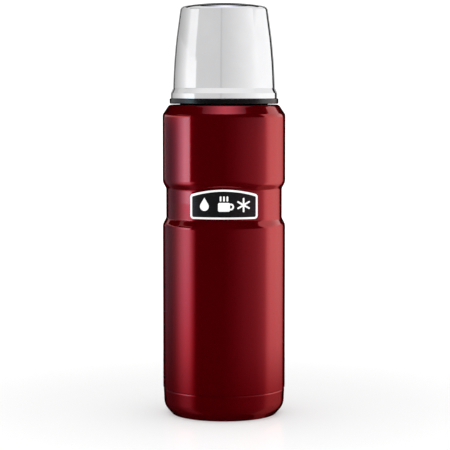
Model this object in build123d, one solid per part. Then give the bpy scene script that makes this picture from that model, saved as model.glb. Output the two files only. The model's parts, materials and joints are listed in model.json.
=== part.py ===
from build123d import *
import math
import os

# Vacuum flask: a double-walled steel bottle, a screw stopper and a double-walled screw cup.
# Millimetres, +Z up. The origin is the centre of the ring that the flask stands on, and the
# badge faces -Y. Everything turns about Z, and both threads are right-handed.

# Bottle
shell_radius = 37.0
shell_wall = 0.6
seam_z = 16.0  # groove between the base cup and the shell
seam_gap = 0.4
recess_radius = 34.95  # band that carries the badge
recess_low_z, recess_high_z = 119.15, 137.1
recess_slope_low, recess_slope_high = 3.95, 3.55  # heights of its lower and upper slopes
shoulder_z = 181.9
ledge_radius, ledge_z = 33.0, 187.4  # where the shoulder ends under the cup
neck_radius, neck_step_z = 26.0, 198.5  # carries the cup's thread
lip_radius, lip_z = 24.4, 203.0

# Inner vessel
vessel_radius = 31.5  # inside face
vessel_wall = 0.6
vessel_floor_z = 10.0
vessel_shoulder_z = 162.0
throat_radius, throat_z = 20.2, 176.5
mouth_radius, mouth_z = 23.0, 180.5  # top of the conical seat for the stopper's gasket
shield_gap, shield_wall = 0.15, 0.2

# Base
base_radius = 36.7
base_wall = 0.8
spigot_step = 0.35  # the base cup's top slips inside the shell
spigot_height = 5.0
stand_inner_radius, stand_outer_radius = 30.2, 31.6
base_floor_z = 2.0
exhaust_radius = 1.5

# Threads
thread_lead = 4.0
ridge_root, ridge_crest = 1.8, 0.8  # widths along Z
ridge_sink = 0.3  # how far a ridge's foot sits in its wall
neck_ridge_z, neck_ridge_crest = 190.4, 27.2
cup_bore_radius, cup_ridge_crest = 27.6, 26.4
mouth_ridge_z, mouth_ridge_crest = 187.0, 22.0
fixed_turns, moving_turns = 1.25, 1.0

# Stopper
shank_radius, shank_low_z = 21.6, 179.4
stopper_cavity_radius = 18.4
nose_radius, nose_bore = 17.6, 15.6
flange_radius, flange_low_z, flange_high_z = 24.5, 204.5, 206.9
cap_radius, cap_top_z = 23.3, 219.0
stopper_ridge_crest = 22.7
pour_channel_width, pour_channel_depth = 9.0, 1.2
grip_flutes, flute_radius = 16, 1.5

# Cup
bead_radius, bead_low_z, bead_high_z = 32.2, 191.0, 194.2
cup_wall = 0.5
cup_top_z = 247.4
collar_radius, collar_low_z = 32.8, 187.9
cup_ledge_z, cup_ledge_radius, cup_ledge_height = 200.0, 24.9, 1.2
liner_top_z = 241.5

# Badge
badge_half_width = 19.8
badge_low_z, badge_corner_z, badge_apex_z = 120.6, 134.9, 138.0
badge_corner_radius = 2.0
badge_border = 1.1
pocket_margin = 1.1  # room around the badge where the recess's upper slope is pressed in
adhesive_low, plate_low, plate_high, rim_high, motif_high = 35.0, 35.25, 36.1, 36.45, 36.3
motif_z = 128.9
motif_spacing = 11.5
motif_line = 1.0

loose_fit = 0.15  # between rings and the pieces that turn past them


def turned(outline):
    """Solid of revolution from a closed outline of (radius, z, corner fillet) points."""
    points = [(r, 0, z) for r, z, _ in outline]
    fillets = [fillet for _, _, fillet in outline]
    return revolve(make_face(FilletPolyline(*points, radius=fillets, close=True)), Axis.Z)


def parallel_line(surface, distance):
    """The same line moved to the left of its direction of travel, with matching fillets."""
    normals = []
    for (r1, z1, _), (r2, z2, _) in zip(surface, surface[1:]):
        length = math.hypot(r2 - r1, z2 - z1)
        normals.append(((z1 - z2) / length, (r2 - r1) / length))
    moved = []
    for (r, z, fillet), (ar, az), (br, bz) in zip(surface, normals[:1] + normals, normals + normals[-1:]):
        reach = distance / (1 + ar * br + az * bz)
        turn = math.copysign(1, ar * bz - az * br)
        new_fillet = max(fillet - distance * turn, 0) if fillet else 0
        moved.append((r + reach * (ar + br), z + reach * (az + bz), new_fillet))
    return moved


def sheet_wall(surface, thickness):
    """Pressed sheet: one face follows the line, the other lies to the left of its travel."""
    return turned(surface + parallel_line(surface, thickness)[::-1])


def ring(inner_radius, outer_radius, low_z, high_z, fillet=0):
    corners = [(inner_radius, low_z), (outer_radius, low_z), (outer_radius, high_z), (inner_radius, high_z)]
    return turned([(r, z, fillet) for r, z in corners])


def disc(radius, low_z, high_z):
    return turned([(0, low_z, 0), (radius, low_z, 0), (radius, high_z, 0), (0, high_z, 0)])


def thread_ridge(wall_radius, crest_radius, start_z, turns, start_angle=0):
    """Helical ridge of trapezoid section whose foot is sunk in the wall at wall_radius."""
    out = math.copysign(1, crest_radius - wall_radius)
    height = abs(crest_radius - wall_radius)
    foot = ridge_root / 2 + ridge_sink * (ridge_root - ridge_crest) / (2 * height)
    path = Helix(pitch=thread_lead, height=thread_lead * turns, radius=wall_radius, center=(0, 0, start_z))
    section = Plane(origin=path @ 0, x_dir=(1, 0, 0), z_dir=path % 0) * make_face(
        Polyline(
            (-ridge_sink * out, -foot),
            (height * out, -ridge_crest / 2),
            (height * out, ridge_crest / 2),
            (-ridge_sink * out, foot),
            close=True,
        )
    )
    return Rot(0, 0, start_angle) * sweep(section, path=path, is_frenet=True)


def badge_face(grow):
    """Arched plate outline in the XZ plane, grown by a margin all round."""
    half = badge_half_width + grow
    low, corner, apex = badge_low_z - grow, badge_corner_z + grow, badge_apex_z + grow
    with BuildSketch(Plane.XZ) as sketch:
        with BuildLine():
            Polyline((-half, corner), (-half, low), (half, low), (half, corner))
            ThreePointArc((half, corner), (0, apex), (-half, corner))
        make_face()
        fillet(sketch.vertices(), badge_corner_radius + grow)
    return sketch.sketch


def wrapped(face, inner_radius, outer_radius):
    """The part of a cylindrical layer at the front that lies behind a flat outline."""
    reach = extrude(face, amount=shell_radius + 10)
    return reach & ring(inner_radius, outer_radius, badge_low_z - 10, badge_apex_z + 10)


# ---- Bottle ----


def shell_surface():
    """Outside of the shell from the seam up to the end of the neck."""
    return [
        (shell_radius, seam_z + seam_gap / 2, 0),
        (shell_radius, recess_low_z - recess_slope_low, 5.0),
        (recess_radius, recess_low_z, 2.5),
        (recess_radius, recess_high_z, 2.5),
        (shell_radius, recess_high_z + recess_slope_high, 6.0),
        (shell_radius, shoulder_z, 4.0),
        (ledge_radius, ledge_z, 1.0),
        (neck_radius, ledge_z, 1.2),
        (neck_radius, neck_step_z, 0.9),
        (lip_radius, neck_step_z, 0.5),
        (lip_radius, lip_z - vessel_wall, 0),
    ]


def outer_shell():
    surface = shell_surface()
    low_z, high_z = surface[0][1], surface[-1][1]
    rolled_edge = [(shell_radius - 0.3, low_z, 0), (shell_radius, low_z + 0.4, 0.3)]
    outer_solid = turned(rolled_edge + surface[1:] + [(0, high_z, 0), (0, low_z, 0)])
    inside = parallel_line(surface, shell_wall)
    inner_solid = turned(inside + [(0, high_z, 0), (0, low_z, 0)])
    # The pocket over the badge is pressed in, so the wall behind it moves in as well.
    outer_solid -= wrapped(badge_face(pocket_margin), recess_radius, shell_radius + 5)
    inner_solid -= wrapped(badge_face(pocket_margin + shell_wall), recess_radius - shell_wall, shell_radius + 5)
    return outer_solid - inner_solid + thread_ridge(neck_radius, neck_ridge_crest, neck_ridge_z, fixed_turns)


def base_cup():
    surface = [
        (exhaust_radius, base_floor_z, 0),
        (stand_inner_radius - base_floor_z, base_floor_z, 1.2),
        (stand_inner_radius, 0, 0.6),
        (stand_outer_radius, 0, 0.8),
        (base_radius, 5.0, 8.0),
        (base_radius, seam_z - seam_gap / 2, 0.25),
        (base_radius - spigot_step, seam_z - seam_gap / 2, 0),
        (base_radius - spigot_step, seam_z + spigot_height, 0),
    ]
    return sheet_wall(surface, base_wall)


def base_cover_disc():
    radius, low_z, plate, rim = 27.2, 0.5, 0.9, 1.6
    return turned(
        [
            (0, low_z, 0),
            (radius, low_z, 0.4),
            (radius, base_floor_z, 0),
            (radius - rim, base_floor_z, 0),
            (radius - rim, low_z + plate, 0),
            (0, low_z + plate, 0),
        ]
    )


def exhaust_seal():
    head_radius, head_low_z, top_z = 3.0, 1.6, 3.2
    return turned(
        [
            (0, head_low_z, 0),
            (head_radius, head_low_z, 0.2),
            (head_radius, base_floor_z, 0),
            (exhaust_radius - 0.05, base_floor_z, 0),
            (exhaust_radius - 0.05, top_z, 0),
            (0, top_z, 0),
        ]
    )


getter_x, getter_radius, getter_sheet, getter_height = 15.0, 6.0, 0.4, 3.4


def getter_holder():
    low_z = base_floor_z + base_wall
    dish = disc(getter_radius, low_z, low_z + getter_height)
    hollow = disc(getter_radius - getter_sheet, low_z + getter_sheet, low_z + getter_height)
    return Pos(getter_x, 0, 0) * (dish - hollow)


def getter_pellet():
    low_z = base_floor_z + base_wall + getter_sheet
    return Pos(getter_x, 0, 0) * disc(getter_radius - getter_sheet - 0.1, low_z, low_z + 2.2)


def inner_vessel():
    surface = [
        (vessel_radius, vessel_floor_z - 0.6, 0),
        (vessel_radius, vessel_shoulder_z, 8.0),
        (throat_radius, throat_z - 2.0, 1.5),
        (throat_radius, throat_z, 1.0),
        (mouth_radius, mouth_z, 1.5),
        (mouth_radius, lip_z, 0.5),
        (lip_radius, lip_z, 0),
    ]
    vessel = sheet_wall(surface, -vessel_wall)
    return vessel + thread_ridge(mouth_radius, mouth_ridge_crest, mouth_ridge_z, fixed_turns)


def inner_vessel_bottom():
    rim_radius = vessel_radius - 0.05
    surface = [
        (0, vessel_floor_z, 0),
        (22.0, vessel_floor_z, 20.0),
        (rim_radius - 2.0, vessel_floor_z - 0.7, 1.4),
        (rim_radius, vessel_floor_z + 0.8, 1.0),
        (rim_radius, vessel_floor_z + 3.5, 0),
    ]
    return sheet_wall(surface, vessel_wall)


def radiation_shield():
    inner_radius = vessel_radius + vessel_wall + shield_gap
    return ring(inner_radius, inner_radius + shield_wall, vessel_floor_z + 2, vessel_shoulder_z - 6)


# ---- Badge ----


def badge_adhesive():
    return wrapped(badge_face(-1.5), adhesive_low, plate_low - 0.02)


def badge_plate():
    return wrapped(badge_face(0), plate_low, plate_high)


def badge_rim():
    border = badge_face(0) - badge_face(-badge_border)
    return wrapped(border, plate_high, rim_high)


def badge_motif():
    """Three plain pictures in a row: a drop, a steaming mug and a snow crystal."""
    drop = Circle(2.6) + Polygon((-2.3, 1.2), (2.3, 1.2), (0, 5.2), align=None)
    mug = Pos(0, -1.2) * RectangleRounded(7.0, 5.2, 0.9)
    handle = Pos(3.9, -1.0) * (Circle(2.0) - Circle(2.0 - motif_line))
    steam = [Pos(x, 3.7) * RectangleRounded(motif_line, 3.0, 0.45) for x in (-2.0, 0.0, 2.0)]
    crystal = [Rot(0, 0, angle) * RectangleRounded(motif_line, 8.4, 0.45) for angle in (0, 60, 120)]
    picture = Plane.XZ * Pos(0, motif_z) * Sketch(
        (Pos(-motif_spacing, -0.8) * drop).faces()
        + (mug + handle + steam).faces()
        + (Pos(motif_spacing, 0) * (crystal[0] + crystal[1] + crystal[2])).faces()
    )
    return wrapped(picture, plate_high, motif_high)


# ---- Stopper ----


def stopper_body():
    bottom_z, cavity_floor_z, spigot_radius, spigot_top_z = 174.6, 181.0, 21.0, 211.0
    body = turned(
        [
            (nose_bore, bottom_z, 0),
            (nose_radius, bottom_z, 0),
            (nose_radius, shank_low_z - 0.7, 0),
            (shank_radius - 0.7, shank_low_z - 0.7, 0),
            (shank_radius, shank_low_z, 0),
            (shank_radius, flange_low_z, 0),
            (flange_radius, flange_low_z, 0.4),
            (flange_radius, flange_high_z, 0.4),
            (spigot_radius, flange_high_z, 0),
            (spigot_radius, spigot_top_z, 0.3),
            (stopper_cavity_radius, spigot_top_z, 0),
            (stopper_cavity_radius, cavity_floor_z, 0),
            (nose_bore, cavity_floor_z, 0),
        ]
    )
    body += thread_ridge(shank_radius, stopper_ridge_crest, mouth_ridge_z - thread_lead / 2, moving_turns)
    channel_height = flange_low_z - shank_low_z
    channel = Pos(0, 0, shank_low_z + channel_height / 2) * Box(
        2 * (stopper_ridge_crest + 1), pour_channel_width, channel_height
    )
    core = disc(shank_radius - pour_channel_depth, shank_low_z - 1, flange_low_z + 1)
    return body - (channel - core)


def stopper_base_plug():
    low_z, rim_radius, spigot_top_z = 172.6, 19.7, 178.0
    return turned(
        [
            (0, low_z, 0),
            (rim_radius, low_z, 0.8),
            (rim_radius, 174.4, 0.3),
            (nose_bore - 0.05, 174.4, 0),
            (nose_bore - 0.05, spigot_top_z, 0.4),
            (0, spigot_top_z, 0),
        ]
    )


def stopper_main_gasket():
    """Silicone ring whose cone matches the seat above the throat."""
    low_z, high_z = 174.6, shank_low_z - 0.7 - loose_fit
    inner_radius = nose_radius + loose_fit
    seat_slope = (mouth_radius - throat_radius) / (mouth_z - throat_z)
    straight_radius = throat_radius - 2 * loose_fit
    top_radius = straight_radius + seat_slope * (high_z - throat_z)
    return turned(
        [
            (inner_radius, low_z, 0),
            (straight_radius, low_z, 0.5),
            (straight_radius, throat_z, 0),
            (top_radius, high_z, 0.3),
            (inner_radius, high_z, 0),
        ]
    )


def stopper_seal_ring():
    return ring(mouth_radius + 0.1, lip_radius - 0.05, lip_z + 0.05, flange_low_z - 0.05, 0.4)


def stopper_foam():
    return disc(stopper_cavity_radius - 0.2, 181.2, 215.6)


def stopper_cap():
    low_z, bore_radius, bore_top_z, dish_radius, dish_depth = flange_high_z, 21.05, 216.2, 16.5, 1.0
    cap = turned(
        [
            (bore_radius, low_z, 0),
            (cap_radius, low_z, 0),
            (cap_radius, cap_top_z, 1.6),
            (dish_radius, cap_top_z, 0.8),
            (dish_radius - 1.2, cap_top_z - dish_depth, 0.8),
            (0, cap_top_z - dish_depth, 0),
            (0, bore_top_z, 0),
            (bore_radius, bore_top_z, 0),
        ]
    )
    flute = Pos(cap_radius + 0.5, 0, low_z + 2.0) * Cylinder(
        flute_radius, 30, align=(Align.CENTER, Align.CENTER, Align.MIN)
    )
    for index in range(grip_flutes):
        cap -= Rot(0, 0, 360 * index / grip_flutes) * flute
    return cap


# ---- Cup ----


def cup_outer_shell():
    surface = [
        (bead_radius, bead_low_z, 0),
        (bead_radius, bead_high_z, 1.0),
        (30.8, 197.3, 1.5),
        (30.25, 211.0, 200.0),
        (28.95, 226.0, 200.0),
        (26.1, 245.7, 2.2),
        (12.0, cup_top_z, 180.0),
        (0, cup_top_z, 0),
    ]
    return sheet_wall(surface, cup_wall)


def cup_inner_liner():
    surface = [
        (29.6, cup_ledge_z + cup_ledge_height, 0),
        (27.2, cup_ledge_z + cup_ledge_height, 0.8),
        (26.9, 214.0, 200.0),
        (25.7, 227.0, 200.0),
        (23.8, liner_top_z, 4.0),
        (0, liner_top_z, 0),
    ]
    return sheet_wall(surface, -cup_wall)


groove_inner, groove_outer, groove_depth = 28.0, 29.2, 0.9


def cup_thread_ring():
    """Black moulding that shows as a collar under the cup and holds its thread."""
    top_z, sleeve_radius, wall_outer = cup_ledge_z + cup_ledge_height, bead_radius - cup_wall - 0.05, 29.7
    body = turned(
        [
            (cup_bore_radius, collar_low_z, 0.6),
            (collar_radius, collar_low_z, 0.7),
            (collar_radius, bead_low_z, 0.35),
            (sleeve_radius, bead_low_z, 0),
            (sleeve_radius, bead_high_z - 0.4, 0),
            (wall_outer, bead_high_z + 2.6, 0),
            (wall_outer, top_z, 0),
            (cup_ledge_radius, top_z, 0.3),
            (cup_ledge_radius, cup_ledge_z, 0),
            (cup_bore_radius, cup_ledge_z, 0.5),
        ]
    )
    body -= ring(groove_inner, groove_outer, top_z - groove_depth, top_z + 1)
    # A quarter turn on, the ridge is a quarter of the lead higher, so it stays in mesh.
    start_z = neck_ridge_z - thread_lead / 2 + thread_lead / 4
    return body + thread_ridge(cup_bore_radius, cup_ridge_crest, start_z, moving_turns, 90)


def cup_liner_gasket():
    top_z = cup_ledge_z + cup_ledge_height
    low_z = top_z - groove_depth + 0.1
    return ring(groove_inner + 0.1, groove_outer - 0.1, low_z, top_z - 0.05)


def cup_seal_ring():
    return ring(lip_radius + 0.15, neck_radius - 0.05, neck_step_z + 0.05, cup_ledge_z - 0.1, 0.35)


node_builders = [
    outer_shell,
    base_cup,
    base_cover_disc,
    exhaust_seal,
    getter_holder,
    getter_pellet,
    inner_vessel,
    inner_vessel_bottom,
    radiation_shield,
    badge_adhesive,
    badge_plate,
    badge_rim,
    badge_motif,
    stopper_body,
    stopper_base_plug,
    stopper_main_gasket,
    stopper_seal_ring,
    stopper_foam,
    stopper_cap,
    cup_outer_shell,
    cup_inner_liner,
    cup_thread_ring,
    cup_liner_gasket,
    cup_seal_ring,
]

os.makedirs("parts", exist_ok=True)
for builder in node_builders:
    export_step(builder(), f"parts/{builder.__name__}.step")
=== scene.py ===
import json
import math

import bmesh
import bpy
import numpy as np
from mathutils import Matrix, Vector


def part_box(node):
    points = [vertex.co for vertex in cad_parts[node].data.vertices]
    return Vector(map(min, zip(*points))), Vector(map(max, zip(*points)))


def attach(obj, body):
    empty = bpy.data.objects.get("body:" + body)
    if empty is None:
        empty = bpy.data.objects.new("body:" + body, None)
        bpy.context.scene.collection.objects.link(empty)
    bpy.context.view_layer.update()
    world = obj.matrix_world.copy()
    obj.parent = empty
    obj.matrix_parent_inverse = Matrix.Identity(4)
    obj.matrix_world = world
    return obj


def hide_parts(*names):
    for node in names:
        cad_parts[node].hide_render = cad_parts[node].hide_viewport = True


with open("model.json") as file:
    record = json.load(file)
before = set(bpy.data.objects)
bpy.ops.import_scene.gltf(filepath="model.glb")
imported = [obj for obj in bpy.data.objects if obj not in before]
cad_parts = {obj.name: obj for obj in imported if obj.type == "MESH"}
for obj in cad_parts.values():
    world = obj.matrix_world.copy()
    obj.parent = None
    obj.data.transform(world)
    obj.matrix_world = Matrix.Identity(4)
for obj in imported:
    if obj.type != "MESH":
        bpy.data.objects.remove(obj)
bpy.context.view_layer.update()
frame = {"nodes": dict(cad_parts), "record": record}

# Vacuum flask. Outlines are in millimetres, as (radius, z, corner fillet) points, and become
# metres when the meshes are made. The flask stands at the origin and its badge faces -Y.

MM = 0.001
FULL_TURN = 2 * math.pi


def top_of(node):
    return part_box(node)[1].z / MM


def foot_of(node):
    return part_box(node)[0].z / MM


def radius_of(node):
    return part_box(node)[1].x / MM


# ---- Driving dimensions, read from the frame where a node gives them ----

SEGMENTS = 360
SHELL_WALL, BASE_WALL, VESSEL_WALL, CUP_WALL = 0.6, 0.8, 0.6, 0.5
SHELL_RADIUS = radius_of("outer_shell")
SHELL_LOW_Z = foot_of("outer_shell")
RECESS_RADIUS, RECESS_LOW_Z, RECESS_HIGH_Z = 34.95, 119.15, 137.1
RECESS_SLOPE_LOW, RECESS_SLOPE_HIGH = 3.95, 3.55
SHOULDER_Z, LEDGE_RADIUS, LEDGE_Z = 181.9, 33.0, 187.4
NECK_RADIUS, NECK_STEP_Z, LIP_RADIUS = 26.0, 198.5, 24.4
LIP_Z = top_of("inner_vessel")
MOUTH_RADIUS, MOUTH_Z = 23.0, 180.5
THROAT_RADIUS, THROAT_Z = 20.2, 176.5
VESSEL_RADIUS, VESSEL_SHOULDER_Z = 31.5, 162.0
BASE_RADIUS = radius_of("base_cup")
THREAD_LEAD, RIDGE_ROOT, RIDGE_CREST = 4.0, 1.8, 0.8
FIXED_TURNS, MOVING_TURNS = 1.25, 1.0
NECK_RIDGE_Z, MOUTH_RIDGE_Z = 190.4, 187.0
NECK_CREST, MOUTH_CREST, COLLAR_CREST = 27.2, 22.0, 26.4
CUP_BORE = 27.6
BEAD_RADIUS, BEAD_LOW_Z, BEAD_HIGH_Z = radius_of("cup_outer_shell"), foot_of("cup_outer_shell"), 194.2
CUP_TOP_Z = top_of("cup_outer_shell")
COLLAR_RADIUS, COLLAR_LOW_Z = radius_of("cup_thread_ring"), foot_of("cup_thread_ring")
CUP_LEDGE_Z, CUP_LEDGE_RADIUS, CUP_SEAT_Z = 200.0, 24.9, top_of("cup_thread_ring")

# ---- Meshes of revolution ----


def parallel_line(surface, distance):
    """The same line moved to the left of its direction of travel, with matching fillets."""
    normals = []
    for (r1, z1, _), (r2, z2, _) in zip(surface, surface[1:]):
        length = math.hypot(r2 - r1, z2 - z1)
        normals.append(((z1 - z2) / length, (r2 - r1) / length))
    moved = []
    sides = zip(surface, normals[:1] + normals, normals + normals[-1:])
    for (r, z, fillet), (ar, az), (br, bz) in sides:
        reach = distance / (1 + ar * br + az * bz)
        turn = math.copysign(1, ar * bz - az * br)
        new_fillet = max(fillet - distance * turn, 0) if fillet else 0
        moved.append((r + reach * (ar + br), z + reach * (az + bz), new_fillet))
    return moved


def sheet_outline(surface, thickness):
    return surface + parallel_line(surface, thickness)[::-1]


def rounded(outline, arc_step=math.radians(5), arc_length=2.5):
    """Points of a closed outline with its fillets drawn as arcs."""
    points = []
    for index, (r, z, fillet) in enumerate(outline):
        corner = np.array((r, z))
        before = np.array(outline[index - 1][:2]) - corner
        after = np.array(outline[(index + 1) % len(outline)][:2]) - corner
        before, after = before / np.linalg.norm(before), after / np.linalg.norm(after)
        turn = math.pi - math.acos(np.clip(before @ after, -1, 1))
        if not fillet or turn < math.radians(0.2):
            points.append(corner)
            continue
        centre = corner + (before + after) / np.linalg.norm(before + after) * fillet / math.cos(turn / 2)
        start = corner + before * fillet * math.tan(turn / 2)
        steps = max(2, math.ceil(turn / arc_step), math.ceil(fillet * turn / arc_length))
        arm = start - centre
        side = math.copysign(1, before[1] * after[0] - before[0] * after[1])
        for step in range(steps + 1):
            angle = side * turn * step / steps
            spin = np.array(((math.cos(angle), -math.sin(angle)), (math.sin(angle), math.cos(angle))))
            points.append(centre + spin @ arm)
    return points


def refined(points, run=5.0, support=0.35, fine_zone=None, fine_step=0.2):
    """Straight runs cut into shorter ones, with a support point near each end."""
    dense = []
    for start, end in zip(points, points[1:] + points[:1]):
        length = np.linalg.norm(end - start)
        dense.append(start)
        if length < 3 * support:
            continue
        low_z, high_z = sorted((start[1], end[1]))
        in_zone = fine_zone and low_z < fine_zone[1] and high_z > fine_zone[0]
        step = fine_step if in_zone and abs(end[1] - start[1]) > 1 else run
        inner = length - 2 * support
        pieces = max(1, math.ceil(inner / step))
        for index in range(pieces + 1):
            dense.append(start + (end - start) * (support + inner * index / pieces) / length)
    return dense


def revolved(name, outline, segments=256, shape=None, fine_zone=None, fine_step=0.2, sharp=35):
    """Closed mesh of revolution. shape(angle, radii, zs) may return changed radii and zs."""
    section = np.array(refined(rounded(outline), fine_zone=fine_zone, fine_step=fine_step))
    rows = len(section)
    vertices = []
    for column in range(segments):
        angle = FULL_TURN * column / segments
        radii, zs = section[:, 0].copy(), section[:, 1].copy()
        if shape:
            radii, zs = shape(angle, radii, zs)
        vertices.append(np.stack((radii * math.cos(angle), radii * math.sin(angle), zs), axis=1))
    vertices = np.concatenate(vertices) * MM
    faces = []
    for column in range(segments):
        here, there = column * rows, (column + 1) % segments * rows
        for row in range(rows):
            above = (row + 1) % rows
            faces.append((here + row, there + row, there + above, here + above))
    return finished_mesh(name, vertices, faces, sharp)


def finished_mesh(name, vertices, faces, sharp=35):
    """Object from vertices in metres: welded, with outward normals and smooth shading."""
    mesh = bpy.data.meshes.new(name)
    mesh.from_pydata([tuple(v) for v in vertices], [], faces)
    work = bmesh.new()
    work.from_mesh(mesh)
    bmesh.ops.remove_doubles(work, verts=work.verts, dist=1e-7)
    bmesh.ops.dissolve_degenerate(work, edges=work.edges, dist=1e-8)
    bmesh.ops.recalc_face_normals(work, faces=work.faces)
    work.to_mesh(mesh)
    work.free()
    mesh.shade_smooth()
    mesh.set_sharp_from_angle(angle=math.radians(sharp))
    piece = bpy.data.objects.new(name, mesh)
    bpy.context.scene.collection.objects.link(piece)
    return piece


def smooth_step(value):
    value = np.clip(value, 0, 1)
    return value * value * (3 - 2 * value)


def thread(wall, crest, start_z, turns, start_angle=0.0):
    """Shape function that raises a helical ridge with run-outs from a cylindrical wall."""
    flank, run_out = (RIDGE_ROOT - RIDGE_CREST) / 2, 0.06

    def shape(angle, radii, zs):
        on_wall = np.abs(radii - wall) < 1e-4
        height = np.zeros_like(zs)
        first = ((angle - start_angle) % FULL_TURN) / FULL_TURN
        for turn in (first, first + 1):
            if turn <= turns:
                centre = start_z + THREAD_LEAD * turn
                side = (RIDGE_ROOT / 2 - np.abs(zs - centre)) / flank
                end = min(turn, turns - turn) / run_out
                height = np.maximum(height, smooth_step(np.minimum(side, 1.0)) * smooth_step(end))
        return np.where(on_wall, radii + (crest - wall) * height, radii), zs

    return shape


def placed(piece, body, slot_name, *nodes):
    """The piece takes the nodes' place, moves with their body and gets the slot's material."""
    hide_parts(*nodes)
    piece.data.materials.clear()
    piece.data.materials.append(MATERIALS[slot_name])
    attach(piece, body)


# ---- Materials ----


class Shader:
    """A Principled material with a few node helpers. Texture space is the object's, in metres."""

    def __init__(self, name, color, metallic=0.0, roughness=0.5, **sockets):
        self.material = bpy.data.materials.new(name)
        self.material.use_nodes = True
        self.material.diffuse_color = (*color, 1)
        self.tree = self.material.node_tree
        self.bsdf = self.tree.nodes["Principled BSDF"]
        self.set("Base Color", (*color, 1))
        self.set("Metallic", metallic)
        self.set("Roughness", roughness)
        for socket, value in sockets.items():
            self.set(socket.replace("_", " ").title().replace("Ior", "IOR"), value)
        self.coordinates = self.tree.nodes.new("ShaderNodeTexCoord").outputs["Object"]

    def set(self, socket, value):
        self.bsdf.inputs[socket].default_value = value

    def join(self, output, target):
        self.tree.links.new(output, target)
        return target

    def stretched(self, scale):
        mapping = self.tree.nodes.new("ShaderNodeMapping")
        mapping.inputs["Scale"].default_value = scale
        self.join(self.coordinates, mapping.inputs["Vector"])
        return mapping.outputs["Vector"]

    def noise(self, scale, detail=3.0, stretch=(1, 1, 1), distortion=0.0):
        node = self.tree.nodes.new("ShaderNodeTexNoise")
        node.inputs["Scale"].default_value = scale
        node.inputs["Detail"].default_value = detail
        node.inputs["Distortion"].default_value = distortion
        self.join(self.stretched(stretch), node.inputs["Vector"])
        return node.outputs["Fac"]

    def cells(self, scale):
        node = self.tree.nodes.new("ShaderNodeTexVoronoi")
        node.inputs["Scale"].default_value = scale
        self.join(self.coordinates, node.inputs["Vector"])
        return node

    def ranged(self, value, low, high, from_low=0.3, from_high=0.7):
        node = self.tree.nodes.new("ShaderNodeMapRange")
        limits = {"From Min": from_low, "From Max": from_high, "To Min": low, "To Max": high}
        for socket, number in limits.items():
            node.inputs[socket].default_value = number
        self.join(value, node.inputs["Value"])
        return node.outputs["Result"]

    def roughness_from(self, value, low, high):
        self.join(self.ranged(value, low, high), self.bsdf.inputs["Roughness"])

    def color_between(self, value, color_a, color_b):
        node = self.tree.nodes.new("ShaderNodeMix")
        node.data_type = "RGBA"
        node.inputs["A"].default_value = (*color_a, 1)
        node.inputs["B"].default_value = (*color_b, 1)
        self.join(self.ranged(value, 0, 1), node.inputs["Factor"])
        self.join(node.outputs["Result"], self.bsdf.inputs["Base Color"])

    def bump(self, value, depth, strength=1.0, target="Normal"):
        node = self.tree.nodes.new("ShaderNodeBump")
        node.inputs["Strength"].default_value = strength
        node.inputs["Distance"].default_value = depth
        self.join(value, node.inputs["Height"])
        self.join(node.outputs["Normal"], self.bsdf.inputs[target])


def candy_paint():
    """Metallic red under clear lacquer: fine flakes below, faint orange peel on top."""
    paint = Shader("red_lacquer", (0.31, 0.0003, 0.005), metallic=0.82, roughness=0.17,
                   coat_weight=1.0, coat_roughness=0.03, coat_IOR=1.45, specular_tint=(1.0, 0.08, 0.12, 1))
    flakes = paint.cells(5200)
    paint.color_between(flakes.outputs["Color"], (0.28, 0.0002, 0.0045), (0.34, 0.0004, 0.0065))
    paint.roughness_from(paint.noise(1800), 0.15, 0.19)
    paint.bump(flakes.outputs["Distance"], 0.00001, 0.25)
    paint.bump(paint.noise(420, 2.0), 0.000004, 0.35, "Coat Normal")
    return paint.material


def polished_steel():
    """Mirror steel with the faint turning lines of a polishing wheel."""
    steel = Shader("polished_steel", (0.72, 0.72, 0.73), metallic=1.0, roughness=0.08)
    lines = steel.noise(1500, 2.0, stretch=(0.02, 0.02, 1.0))
    steel.color_between(steel.noise(40), (0.70, 0.70, 0.71), (0.76, 0.76, 0.77))
    steel.roughness_from(lines, 0.05, 0.10)
    steel.bump(lines, 0.000002, 0.2)
    return steel.material


def satin_steel():
    """Steel inside the vessel and cup, with fine turning lines and a little stain."""
    steel = Shader("satin_steel", (0.60, 0.59, 0.57), metallic=1.0, roughness=0.28)
    lines = steel.noise(2600, 3.0, stretch=(0.03, 0.03, 1.0))
    steel.color_between(steel.noise(60), (0.55, 0.54, 0.52), (0.64, 0.63, 0.61))
    steel.roughness_from(lines, 0.22, 0.36)
    steel.bump(lines, 0.000006, 0.5)
    return steel.material


def moulded_plastic(name, color, roughness, grain=2200, depth=0.00002):
    plastic = Shader(name, color, roughness=roughness, specular_IOR_level=0.5)
    grained = plastic.noise(grain, 4.0)
    lighter = tuple(channel * 1.3 + 0.001 for channel in color)
    plastic.color_between(plastic.noise(90), color, lighter)
    plastic.roughness_from(grained, roughness - 0.06, roughness + 0.08)
    plastic.bump(grained, depth, 0.35)
    return plastic.material


def silicone():
    rubber = Shader("silicone", (0.55, 0.55, 0.53), roughness=0.45, subsurface_weight=0.15,
                    subsurface_scale=0.002)
    rubber.color_between(rubber.noise(120), (0.50, 0.50, 0.48), (0.60, 0.60, 0.58))
    rubber.roughness_from(rubber.noise(900), 0.38, 0.52)
    rubber.bump(rubber.noise(1500), 0.00001, 0.3)
    return rubber.material


def worn_metal(name, dark, light, roughness, scale):
    metal = Shader(name, dark, metallic=1.0, roughness=roughness)
    patches = metal.noise(scale, 5.0, distortion=0.4)
    metal.color_between(patches, dark, light)
    metal.roughness_from(patches, roughness - 0.08, roughness + 0.12)
    metal.bump(patches, 0.00004, 0.4)
    return metal.material


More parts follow.
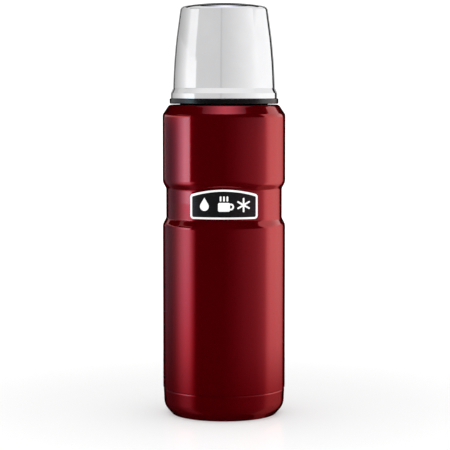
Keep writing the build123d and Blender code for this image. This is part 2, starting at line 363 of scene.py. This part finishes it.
def foam():
    cells = Shader("expanded_foam", (0.82, 0.79, 0.68), roughness=0.9)
    bubbles = cells.cells(900)
    cells.color_between(bubbles.outputs["Distance"], (0.70, 0.66, 0.54), (0.86, 0.83, 0.73))
    cells.bump(bubbles.outputs["Distance"], 0.0002, 0.6)
    return cells.material


MATERIALS = {
    "red_paint": candy_paint(),
    "polished_steel": polished_steel(),
    "inner_steel": satin_steel(),
    "black_plastic": moulded_plastic("black_plastic", (0.0035, 0.0035, 0.004), 0.25),
    "grey_plastic": moulded_plastic("grey_plastic", (0.075, 0.077, 0.080), 0.45),
    "badge_black": moulded_plastic("badge_black", (0.006, 0.006, 0.007), 0.28, 3000, 0.000004),
    "badge_white": moulded_plastic("badge_white", (0.80, 0.80, 0.79), 0.35, 3000, 0.000004),
    "adhesive": moulded_plastic("foam_tape", (0.16, 0.16, 0.16), 0.8, 700, 0.00008),
    "silicone": silicone(),
    "copper_foil": worn_metal("copper_foil", (0.62, 0.25, 0.13), (0.86, 0.45, 0.28), 0.22, 120),
    "braze": worn_metal("braze", (0.42, 0.34, 0.18), (0.66, 0.56, 0.33), 0.35, 900),
    "getter": worn_metal("getter_metal", (0.16, 0.155, 0.15), (0.27, 0.265, 0.26), 0.6, 1500),
    "foam": foam(),
}
for subpart in frame["record"]["subparts"]:
    node = frame["nodes"][subpart["node"]]
    node.data.materials.clear()
    node.data.materials.append(MATERIALS[subpart["material_slot"]])

# ---- Bottle ----

POCKET_LIFT, POCKET_HALF_ANGLE = 2.0, math.radians(33)
FRONT = 1.5 * math.pi  # the angle of -Y


def badge_pocket(angle, radii, zs):
    """Lifts the recess's upper slope over the badge, on both faces of the wall."""
    off_centre = abs((angle - FRONT + math.pi) % FULL_TURN - math.pi) / POCKET_HALF_ANGLE
    if off_centre >= 1:
        return radii, zs
    low_z, low_run, high_z, high_run = RECESS_HIGH_Z - 6, 5.0, RECESS_HIGH_Z + RECESS_SLOPE_HIGH + 9, 6.5
    lift = POCKET_LIFT * (1 - off_centre**2) ** 1.3
    below = smooth_step((zs - low_z) / low_run)
    above = smooth_step((high_z - zs) / high_run)
    return radii, zs + lift * below * above


def shell_shape(angle, radii, zs):
    neck_thread = thread(NECK_RADIUS, NECK_CREST, NECK_RIDGE_Z, FIXED_TURNS)
    radii, zs = neck_thread(angle, radii, zs)
    return badge_pocket(angle, radii, zs)


def make_shell():
    surface = [
        (SHELL_RADIUS, SHELL_LOW_Z, 0.25),
        (SHELL_RADIUS, RECESS_LOW_Z - RECESS_SLOPE_LOW, 5.0),
        (RECESS_RADIUS, RECESS_LOW_Z, 2.5),
        (RECESS_RADIUS, RECESS_HIGH_Z, 2.5),
        (SHELL_RADIUS, RECESS_HIGH_Z + RECESS_SLOPE_HIGH, 6.0),
        (SHELL_RADIUS, SHOULDER_Z - 0.5, 3.2),
        (LEDGE_RADIUS, LEDGE_Z, 2.8),
        (NECK_RADIUS, LEDGE_Z, 1.2),
        (NECK_RADIUS, NECK_STEP_Z, 0.9),
        (LIP_RADIUS, NECK_STEP_Z, 0.5),
        (LIP_RADIUS, LIP_Z - VESSEL_WALL, 0),
    ]
    outline = sheet_outline(surface, SHELL_WALL)
    piece = revolved("shell", outline, segments=SEGMENTS, shape=shell_shape,
                     fine_zone=(NECK_RIDGE_Z - 2, NECK_STEP_Z - 1), fine_step=0.16)
    placed(piece, "bottle", "red_paint", "outer_shell")


def make_base():
    step, seam_z, lip_z, lip_lean = 0.35, 15.8, 15.05, 0.13
    surface = [
        (1.5, 2.0, 0),
        (28.2, 2.0, 1.2),
        (30.2, 0, 0.6),
        (31.6, 0, 0.8),
        (BASE_RADIUS - 0.45, 5.3, 8.5),
        (BASE_RADIUS, lip_z, 0.4),
        (BASE_RADIUS - lip_lean, seam_z - 0.08, 0.1),
        (BASE_RADIUS - step, seam_z, 0),
        (BASE_RADIUS - step, top_of("base_cup"), 0),
    ]
    piece = revolved("base", sheet_outline(surface, BASE_WALL), segments=SEGMENTS)
    placed(piece, "bottle", "red_paint", "base_cup")


def make_vessel():
    surface = [
        (VESSEL_RADIUS, foot_of("inner_vessel"), 0),
        (VESSEL_RADIUS, VESSEL_SHOULDER_Z, 8.0),
        (THROAT_RADIUS, THROAT_Z - 2.0, 1.5),
        (THROAT_RADIUS, THROAT_Z, 1.0),
        (MOUTH_RADIUS, MOUTH_Z, 1.5),
        (MOUTH_RADIUS, LIP_Z, 0.5),
        (LIP_RADIUS, LIP_Z, 0),
    ]
    mouth_thread = thread(MOUTH_RADIUS, MOUTH_CREST, MOUTH_RIDGE_Z, FIXED_TURNS)
    piece = revolved("vessel", sheet_outline(surface, -VESSEL_WALL), shape=mouth_thread,
                     fine_zone=(MOUTH_RIDGE_Z - 2, LIP_Z - 6))
    placed(piece, "bottle", "inner_steel", "inner_vessel")


make_shell()
make_base()
make_vessel()

# ---- Cup ----


def make_cup():
    """The cup's wall and its domed top, which meet smoothly part of the way up the dome."""
    edge, crown = (26.15, CUP_TOP_Z - 1.3), (12.0, CUP_TOP_Z + 0.6)
    wall_share = 0.17
    meeting = tuple(low + (high - low) * wall_share for low, high in zip(edge, crown))
    wall = [
        (BEAD_RADIUS, BEAD_LOW_Z, 0.2),
        (BEAD_RADIUS, BEAD_HIGH_Z, 1.0),
        (30.8, 197.3, 1.5),
        (30.25, 211.0, 200.0),
        (28.95, 226.0, 200.0),
        (*edge, 3.0),
        (*meeting, 0),
    ]
    top = [(*meeting, 0), (*crown, 168.0), (0, crown[1], 0)]
    for name, surface in (("cup", wall), ("cup_top", top)):
        piece = revolved(name, sheet_outline(surface, CUP_WALL), segments=SEGMENTS)
        placed(piece, "cup", "polished_steel", "cup_outer_shell")


def make_cup_liner():
    liner_top_z = 241.5
    surface = [
        (29.6, CUP_SEAT_Z, 0),
        (27.2, CUP_SEAT_Z, 0.8),
        (26.9, 214.0, 200.0),
        (25.7, 227.0, 200.0),
        (23.8, liner_top_z, 4.0),
        (0, liner_top_z, 0),
    ]
    piece = revolved("cup_liner", sheet_outline(surface, -CUP_WALL))
    placed(piece, "cup", "inner_steel", "cup_inner_liner")


def make_collar():
    gap = 0.05
    sleeve, shoulder = BEAD_RADIUS - CUP_WALL - gap, 29.7
    outline = [
        (CUP_BORE, COLLAR_LOW_Z, 0.6),
        (COLLAR_RADIUS, COLLAR_LOW_Z, 0.7),
        (COLLAR_RADIUS, BEAD_LOW_Z, 0.35),
        (sleeve, BEAD_LOW_Z, 0),
        (sleeve, BEAD_HIGH_Z - 0.4, 0),
        (shoulder, BEAD_HIGH_Z + 2.6, 0),
        (shoulder, CUP_SEAT_Z, 0),
        (CUP_LEDGE_RADIUS, CUP_SEAT_Z, 0.3),
        (CUP_LEDGE_RADIUS, CUP_LEDGE_Z, 0),
        (CUP_BORE, CUP_LEDGE_Z, 0.5),
    ]
    start_z = NECK_RIDGE_Z - THREAD_LEAD / 2 + THREAD_LEAD / 4
    cup_thread = thread(CUP_BORE, COLLAR_CREST, start_z, MOVING_TURNS, math.pi / 2)
    piece = revolved("cup_collar", outline, segments=300, shape=cup_thread,
                     fine_zone=(start_z - 1, start_z + 6))
    placed(piece, "cup", "black_plastic", "cup_thread_ring")


make_cup()
make_cup_liner()
make_collar()

# ---- Stage, light and camera ----


def make_cove():
    """Floor that curves up into the backdrop."""
    half_width, front_y, back_y, bend, steps = 4.0, -3.0, 3.4, 0.8, 16
    profile = [(front_y, 0.0), (back_y - bend, 0.0)]
    for index in range(1, steps + 1):
        angle = math.pi / 2 * index / steps
        profile.append((back_y - bend + bend * math.sin(angle), bend - bend * math.cos(angle)))
    profile.append((back_y, 4.0))
    vertices = [(x, y, z) for x in (-half_width, half_width) for y, z in profile]
    count = len(profile)
    faces = [(count + i, count + i + 1, i + 1, i) for i in range(count - 1)]
    cove = open_sheet("cove", vertices, faces)
    sheet = Shader("pale_sheet", (0.80, 0.80, 0.80), roughness=0.12, emission_color=(1, 1, 1, 1),
                   emission_strength=0.35)
    sheet.roughness_from(sheet.noise(8), 0.10, 0.14)
    sheen, sheen_radius, dull_radius = 0.16, 0.12, 0.26
    reach = sheet.tree.nodes.new("ShaderNodeVectorMath")
    reach.operation = "LENGTH"
    sheet.join(sheet.coordinates, reach.inputs[0])
    sheet.join(sheet.ranged(reach.outputs["Value"], sheen, 0.0, sheen_radius, dull_radius),
               sheet.bsdf.inputs["Specular IOR Level"])
    cove.data.materials.append(sheet.material)
    cove.visible_glossy = False


def open_sheet(name, vertices, faces):
    """Stage mesh whose front is the side that its faces wind round anticlockwise."""
    mesh = bpy.data.meshes.new(name)
    mesh.from_pydata(vertices, [], faces)
    mesh.shade_smooth()
    sheet = bpy.data.objects.new(name, mesh)
    bpy.context.scene.collection.objects.link(sheet)
    return sheet


def reflected_card(name, vertices, faces, glow_at):
    """Sheet that only reflections see, and only from its front. glow_at(point) is its light's RGB."""
    card = open_sheet(name, vertices, faces)
    glow_map = card.data.attributes.new("glow", "FLOAT_COLOR", "POINT")
    for vertex, glow in zip(card.data.vertices, glow_map.data):
        glow.color = (*glow_at(vertex.co), 1.0)
    material = bpy.data.materials.new(name)
    material.use_nodes = True
    tree = material.node_tree
    tree.nodes.clear()
    reader = tree.nodes.new("ShaderNodeAttribute")
    reader.attribute_name = "glow"
    emission = tree.nodes.new("ShaderNodeEmission")
    behind = tree.nodes.new("ShaderNodeNewGeometry")
    clear = tree.nodes.new("ShaderNodeBsdfTransparent")
    mix = tree.nodes.new("ShaderNodeMixShader")
    output = tree.nodes.new("ShaderNodeOutputMaterial")
    tree.links.new(reader.outputs["Color"], emission.inputs["Color"])
    tree.links.new(behind.outputs["Backfacing"], mix.inputs["Fac"])
    tree.links.new(emission.outputs["Emission"], mix.inputs[1])
    tree.links.new(clear.outputs["BSDF"], mix.inputs[2])
    tree.links.new(mix.outputs["Shader"], output.inputs["Surface"])
    card.data.materials.append(material)
    card.visible_camera = False
    card.visible_shadow = False
    card.visible_diffuse = False
    card.visible_transmission = False
    return card


def light_only(card, names):
    """Let a card light only the named pieces. To everything else it is black."""
    group = bpy.data.collections.new(card.name + "_receivers")
    for name in names:
        group.objects.link(bpy.data.objects[name])
    for member in group.collection_objects:
        member.light_linking.link_state = "INCLUDE"
    card.light_linking.receiver_collection = group


def grey(*pairs):
    """Keys with the same value in all three channels."""
    return [(at, value, value, value) for at, value in pairs]


def color_at(keys, at):
    """RGB of the keys at one place, in a straight line from key to key."""
    places = [key[0] for key in keys]
    return np.array([np.interp(at, places, [key[channel] for key in keys]) for channel in (1, 2, 3)])


def make_ring(name, distance, heights, keys):
    """Upright ring of cards round the flask. keys are (azimuth, red, green, blue) in order, where
    azimuth 0 is the camera's side and +X is at +90. heights are (height, and the share of each
    colour that is left there)."""
    spacing = 3
    between = range(math.ceil(keys[0][0]), int(keys[-1][0]), spacing)
    azimuths = sorted({key[0] for key in keys} | set(between))
    vertices, lights = [], []
    for azimuth in azimuths:
        turn, color = math.radians(azimuth), color_at(keys, azimuth)
        for height, *share in heights:
            vertices.append((distance * math.sin(turn), -distance * math.cos(turn), height))
            lights.append(color * share)
    rows = len(heights)
    faces = []
    for column in range(len(azimuths) - 1):
        for row in range(rows - 1):
            low = column * rows + row
            faces.append((low, low + 1, low + rows + 1, low + rows))
    lights = iter(lights)
    return reflected_card(name, vertices, faces, lambda point: next(lights))


def make_level(name, x_range, y_range, height, light):
    """Level sheet of cards whose front faces the flask. light(x, y) is its RGB."""
    cells = 16
    xs, ys = np.linspace(*x_range, cells + 1), np.linspace(*y_range, cells + 1)
    vertices = [(x, y, height) for y in ys for x in xs]
    across = cells + 1
    faces = []
    for row in range(cells):
        for column in range(cells):
            first = row * across + column
            corners = (first, first + across, first + across + 1, first + 1)
            faces.append(corners if height > 0 else corners[::-1])
    return reflected_card(name, vertices, faces, lambda point: light(point.x, point.y))


# The cards are soft boxes that only reflections see. Where there is none, a reflection is black.
NEAR, FAR, BACKDROP = 0.32, 0.8, 2.0  # distances of the rings from the flask's axis
SIDE_END, CEILING_Z = 140, 1.45
STEEL = ("cup", "cup_top", "cup_liner", "vessel")
STEEL_WITHOUT_TOP = ("cup", "cup_liner", "vessel")
STEEL_WITHOUT_WALL = ("cup_top", "cup_liner", "vessel")


def make_strips():
    """Cards close to the flask, for the highlights down its painted side. They fade to the foot."""
    foot_z, waist_z, collar_z = -0.5, 0.11, 0.177
    low_left_fade = [
        (foot_z, 0.05, 0.02, 0.02), (-0.12, 0.16, 0.06, 0.07), (-0.033, 0.32, 0.12, 0.13),
        (0.001, 0.8, 0.38, 0.4), (0.039, 0.95, 0.7, 0.78), (0.077, 1, 1, 1), (waist_z, 1, 1, 1),
    ]
    low_left = [
        (-SIDE_END, 0.12, 0.16, 0.2), (-112, 0.03, 0.18, 0.22), (-100, 0.2, 0.3, 0.35),
        (-92, 0.55, 0.6, 0.75), (-82, 1.1, 1.4, 1.7), (-74, 1.45, 1.95, 2.4), (-66, 1.45, 1.9, 2.3),
        (-60, 1.0, 0.8, 1.0), (-56, 0.5, 0.3, 0.35), (-51, 0, 0, 0),
    ]
    make_ring("low_left_strip", NEAR, low_left_fade, low_left)
    high_left = [
        (-SIDE_END, 0.12, 0.16, 0.2), (-112, 0.03, 0.14, 0.2), (-100, 0.2, 0.3, 0.45),
        (-92, 0.55, 0.7, 1.0), (-82, 1.3, 2.1, 2.7), (-74, 1.9, 3.8, 4.5), (-63.8, 2.0, 3.9, 4.5),
        (-63.4, 0, 0, 0),
    ]
    make_ring("high_left_strip", NEAR, grey((waist_z, 1), (collar_z, 1)), high_left)
    right_fade = [
        (foot_z, 0.1, 0.05, 0.05), (-0.12, 0.28, 0.13, 0.14), (-0.033, 0.42, 0.2, 0.22),
        (0.001, 0.88, 0.7, 0.73), (0.039, 0.93, 0.9, 0.92), (0.077, 1, 1, 1), (collar_z, 1, 1, 1),
    ]
    right = [
        (0, 0, 0, 0), (19, 0.10, 0.04, 0.06), (38, 0.23, 0.13, 0.16), (59, 0.37, 0.24, 0.28),
        (73.5, 0.6, 0.46, 0.52), (79, 0.8, 0.63, 0.67), (85, 1.35, 1.3, 1.3), (93, 1.6, 1.6, 1.6),
        (112, 1.45, 1.1, 1.1), (129, 1.1, 0.58, 0.58), (SIDE_END, 0.7, 0.2, 0.2),
    ]
    make_ring("right_strip", NEAR, right_fade, right)


def make_band(name, low_z, high_z, keys, receivers=(), top_share=1.0):
    """Far ring with the same colours all the way up, or less at the top."""
    card = make_ring(name, FAR, grey((low_z, 1), (high_z, top_share)), keys)
    if receivers:
        light_only(card, receivers)


def make_bands():
    """Far bands that the polished steel reflects. The first four light the paint as well."""
    foot_z, split_z, left_z, shoulder_z, right_z, right_split_z = 0.10, 0.33, 0.50, 0.63, 0.43, 0.80
    low_edge, high_edge, blend, front_light = -64, -67.5, 2, 0.84
    dark_line = ((-9, 0.82), (-6.5, 0.66), (-4, 0.80))
    front = (*dark_line, (20, 0.90), (40, 1.0), (61, 1.12), (80, 1.28))
    left = ((-146, 0.52), (-133, 0.62), (-115, 0.83), (-101, 1.02), (-91, 1.28))
    high_left = ((-146, 0.5), (-115, 0.72), (-101, 0.9), (-91, 1.18))

    make_band("left_cup_light", foot_z, split_z,
              grey(*left, (low_edge - blend, 1.3), (low_edge, front_light)))
    make_band("right_cup_light", foot_z, right_z, grey((80, 1.28), (SIDE_END, 1.3)))
    make_band("left_shoulder_light", left_z, shoulder_z,
              grey((-104, 0.34), (-90, 0.46), (high_edge, 0.46)))
    make_band("right_shoulder_light", right_z, right_split_z, grey((80, 1.1), (SIDE_END, 1.1)),
              top_share=0.97)

    make_band("low_front_light", foot_z, split_z, grey((low_edge, front_light), *front), STEEL)
    make_band("high_front_light", split_z, shoulder_z, grey((high_edge, front_light), *front), STEEL)
    make_band("left_cup_top_light", split_z, left_z,
              grey(*high_left, (high_edge - blend, 1.22), (high_edge, front_light)), STEEL)
    make_band("far_left_cup_light", left_z, shoulder_z, grey((-146, 0.65), (-104, 0.92)), STEEL)
    make_band("left_foot_light", shoulder_z, CEILING_Z,
              grey((-122, 0.9), (-90, 0.9), (-60, 1.06), (80, 1.1)), STEEL)
    make_band("right_foot_light", right_split_z, CEILING_Z, grey((80, 0.95), (115, 1.0)), STEEL)


def make_back_bands():
    """Bands behind the flask, for the steel. The low one leaves out the cup's top and the high one
    its wall, so that the cup's upper edge stays black from the front."""
    low_z, bright_z, mid_z, high_z = -0.3, 0.3, 0.58, 0.72
    back = grey((152, 0.4), (170, 0.8), (196, 0.75), (208, 0.3))
    low = make_ring("low_back_light", FAR, grey((low_z, 0.7), (bright_z, 1), (mid_z, 1)), back)
    light_only(low, STEEL_WITHOUT_TOP)
    make_band("mid_back_light", mid_z, high_z, back, STEEL)
    make_band("high_back_light", high_z, CEILING_Z, back, STEEL_WITHOUT_WALL)


def make_levels():
    """Soft bright patch over the shoulder, and pale sheets above and below for the steel."""
    centre_x, centre_y, width, depth, bright, spill = 0.06, -0.43, 0.46, 0.6, 1.4, 0.2
    patch_color, pale_color = np.array((0.95, 0.97, 1.2)), np.array((0.75, 0.75, 0.75))
    front_y, back_y, under_z = -1.2, 0.2, -0.52

    def patch(x, y):
        spread = ((x - centre_x) / width) ** 2 + ((y - centre_y) / depth) ** 2
        return patch_color * (bright * math.exp(-spread) + spill)

    def pale(x, y):
        return pale_color

    make_level("ceiling_panel", (-FAR, FAR), (front_y, back_y), CEILING_Z, patch)
    back = make_level("ceiling_back", (-FAR, FAR), (back_y, FAR), CEILING_Z, pale)
    light_only(back, STEEL_WITHOUT_WALL)
    under = make_level("underfoot", (-2 * FAR, 2 * FAR), (-2 * FAR, 2 * FAR), under_z, pale)
    light_only(under, STEEL)


def make_backdrop_light():
    """What the floor's faint sheen reflects. Without it the floor would show dark bands."""
    top_z = 2.6
    card = make_ring("backdrop_light", BACKDROP, grey((0, 1), (top_z, 1)), grey((-180, 1), (180, 1)))
    light_only(card, ("cove",))


def make_world():
    """White light from all sides, which reflections don't see: they see the cards."""
    world = bpy.data.worlds.new("studio")
    world.use_nodes = True
    background = world.node_tree.nodes["Background"]
    background.inputs["Color"].default_value = (1, 1, 1, 1)
    background.inputs["Strength"].default_value = 1.12
    world.cycles_visibility.glossy = False
    bpy.context.scene.world = world


def make_camera():
    pitch, distance, height = math.radians(4.4), 1.065, 0.1965
    data = bpy.data.cameras.new("camera")
    data.lens, data.sensor_width = 141.0, 36.0
    camera = bpy.data.objects.new("camera", data)
    camera.location = (0.0006, -distance, height)
    camera.rotation_euler = (math.pi / 2 - pitch, 0, 0)
    bpy.context.scene.collection.objects.link(camera)
    bpy.context.scene.camera = camera


make_cove()
make_strips()
make_bands()
make_back_bands()
make_levels()
make_backdrop_light()
make_world()
make_camera()
bpy.context.scene.view_settings.view_transform = "Standard"
